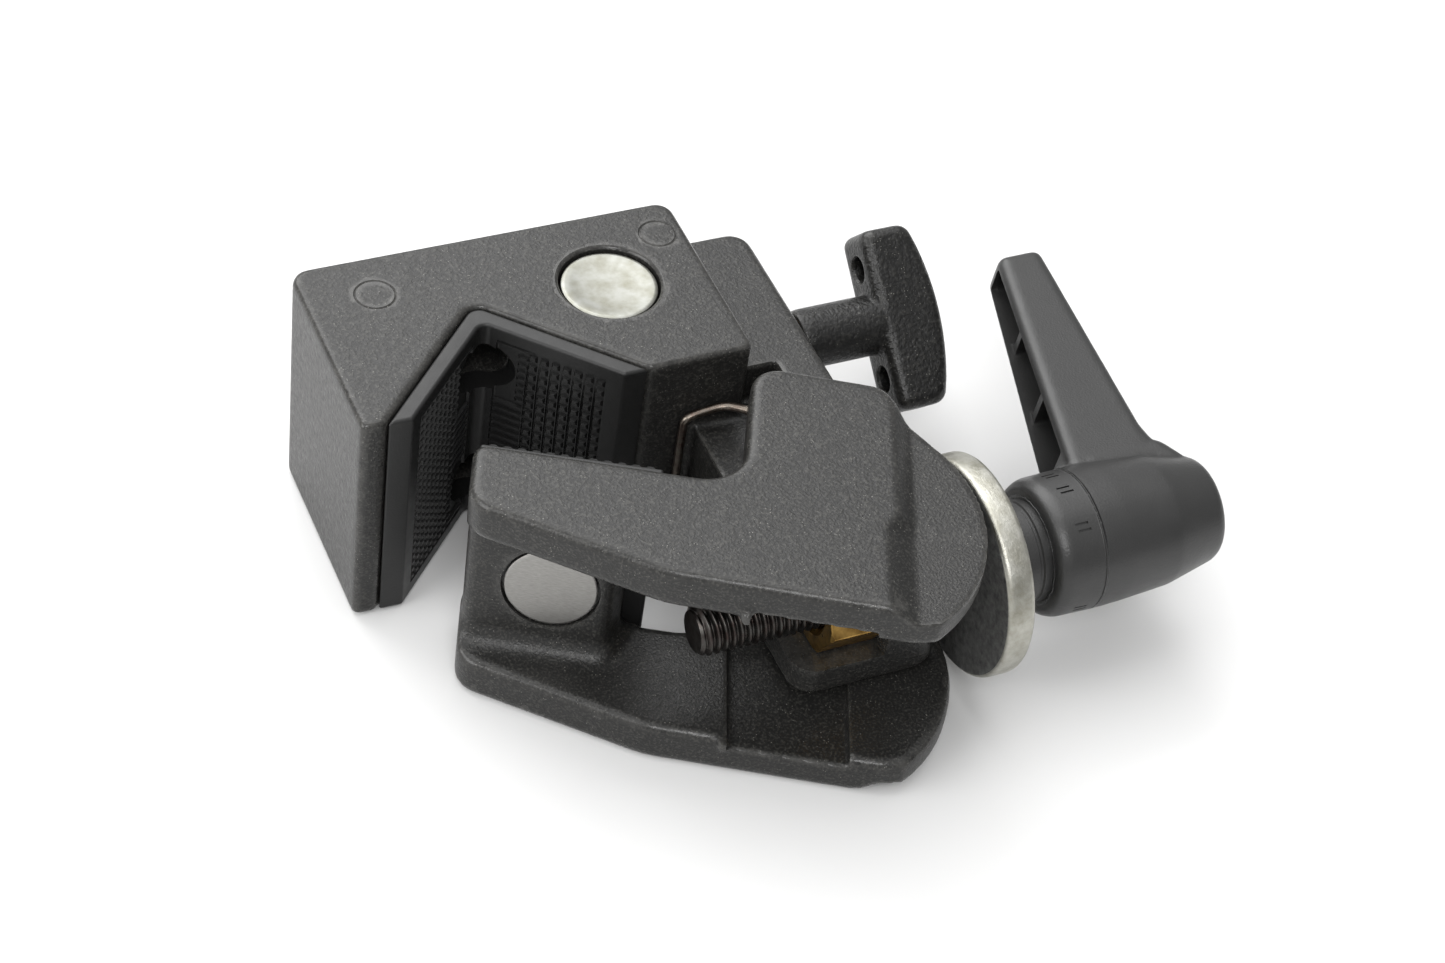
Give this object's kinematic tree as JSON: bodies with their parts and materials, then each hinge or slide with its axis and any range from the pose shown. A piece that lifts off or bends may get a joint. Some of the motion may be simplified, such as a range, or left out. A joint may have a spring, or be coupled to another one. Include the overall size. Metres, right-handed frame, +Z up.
{
  "type": "super clamp",
  "caption": "Super clamp: a hexagonal stud socket and V jaw in one casting, a hinged arm closed by a screw with a ratchet handle, and a T locking knob.",
  "frame": {"origin": "middle of the whole clamp's bounding box in plan, at the level of the castings' lower face (z = 0)", "axes": "+X along the clamp screw from the jaws to the ratchet handle, +Y towards the back of the head, +Z up, along the arm's pivot and the stud socket"},
  "size_m": [0.127, 0.093, 0.041],
  "materials": {
    "black_paint": "black textured powder paint on cast aluminium",
    "black_plastic": "satin black moulded plastic",
    "pad_plastic": "satin black plastic with moulded grip teeth",
    "zinc_plate": "turned steel, pale yellow zinc plate",
    "bright_metal": "bright satin metal",
    "dark_steel": "blackened, oiled steel",
    "spring_steel": "drawn spring wire",
    "brass": "plain machined brass"
  },
  "bodies": {
    "jaw": {"jaw_casting": "black_paint", "fixed_jaw_pad": "pad_plastic", "socket_plug": "bright_metal", "knob_insert": "brass", "pivot_bush": "brass", "torsion_spring": "spring_steel"},
    "arm": {"arm_casting": "black_paint", "arm_jaw_pad": "pad_plastic", "arm_badge": "bright_metal", "pivot_bolt": "dark_steel"},
    "nut": {"clamp_nut": "brass"},
    "washer": {"pressure_washer": "zinc_plate"},
    "screw": {"clamp_screw": "dark_steel", "thrust_collar": "black_plastic", "ratchet_core": "bright_metal", "retaining_screw": "zinc_plate", "handle_spring": "spring_steel"},
    "seat": {"spring_seat": "zinc_plate"},
    "handle": {"ratchet_handle": "black_plastic"},
    "knob_end": {"knob_tip": "brass"},
    "knob": {"locking_knob": "black_paint", "knob_stud": "dark_steel"}
  },
  "joints": [
    {"name": "arm_hinge", "type": "hinge", "parent": "jaw", "child": "arm", "pos_m": [0.002, -0.00718, 0.0205], "axis": [0, 0, 1], "range_deg": [-12, 40], "deforming": ["torsion_spring"]},
    {"name": "nut_rock", "type": "hinge", "parent": "jaw", "child": "nut", "pos_m": [0.00055, -0.02318, 0.0205], "axis": [0, 0, 1], "range_deg": [-3, 3]},
    {"name": "washer_slide", "type": "slide", "parent": "nut", "child": "washer", "axis": [1, 0, 0], "range_m": [-0.0034, 0.0115]},
    {"name": "screw_turn", "type": "hinge", "parent": "washer", "child": "screw", "pos_m": [0.01995, -0.02318, 0.0205], "axis": [1, 0, 0], "range_deg": [-985, 3315]},
    {"name": "handle_lift", "type": "slide", "parent": "screw", "child": "seat", "axis": [1, 0, 0], "range_m": [0, 0.004], "stiffness_N_per_m": 600, "deforming": ["handle_spring"]},
    {"name": "handle_turn", "type": "hinge", "parent": "seat", "child": "handle", "pos_m": [0.05165, -0.02318, 0.0205], "axis": [1, 0, 0], "continuous": true},
    {"name": "knob_slide", "type": "slide", "parent": "jaw", "child": "knob_end", "axis": [1, 0, 0], "range_m": [-0.0018, 0.0039]},
    {"name": "knob_turn", "type": "hinge", "parent": "knob_end", "child": "knob", "pos_m": [0.03085, 0.02992, 0.0205], "axis": [1, 0, 0], "range_deg": [-520, 1125]}
  ],
  "couplings": [
    {"joint": "screw_turn", "follows": "washer_slide", "rad_per_m": 5026.5},
    {"joint": "arm_hinge", "follows": "washer_slide", "rad_per_m": 60.606},
    {"joint": "knob_turn", "follows": "knob_slide", "rad_per_m": 5026.5}
  ]
}
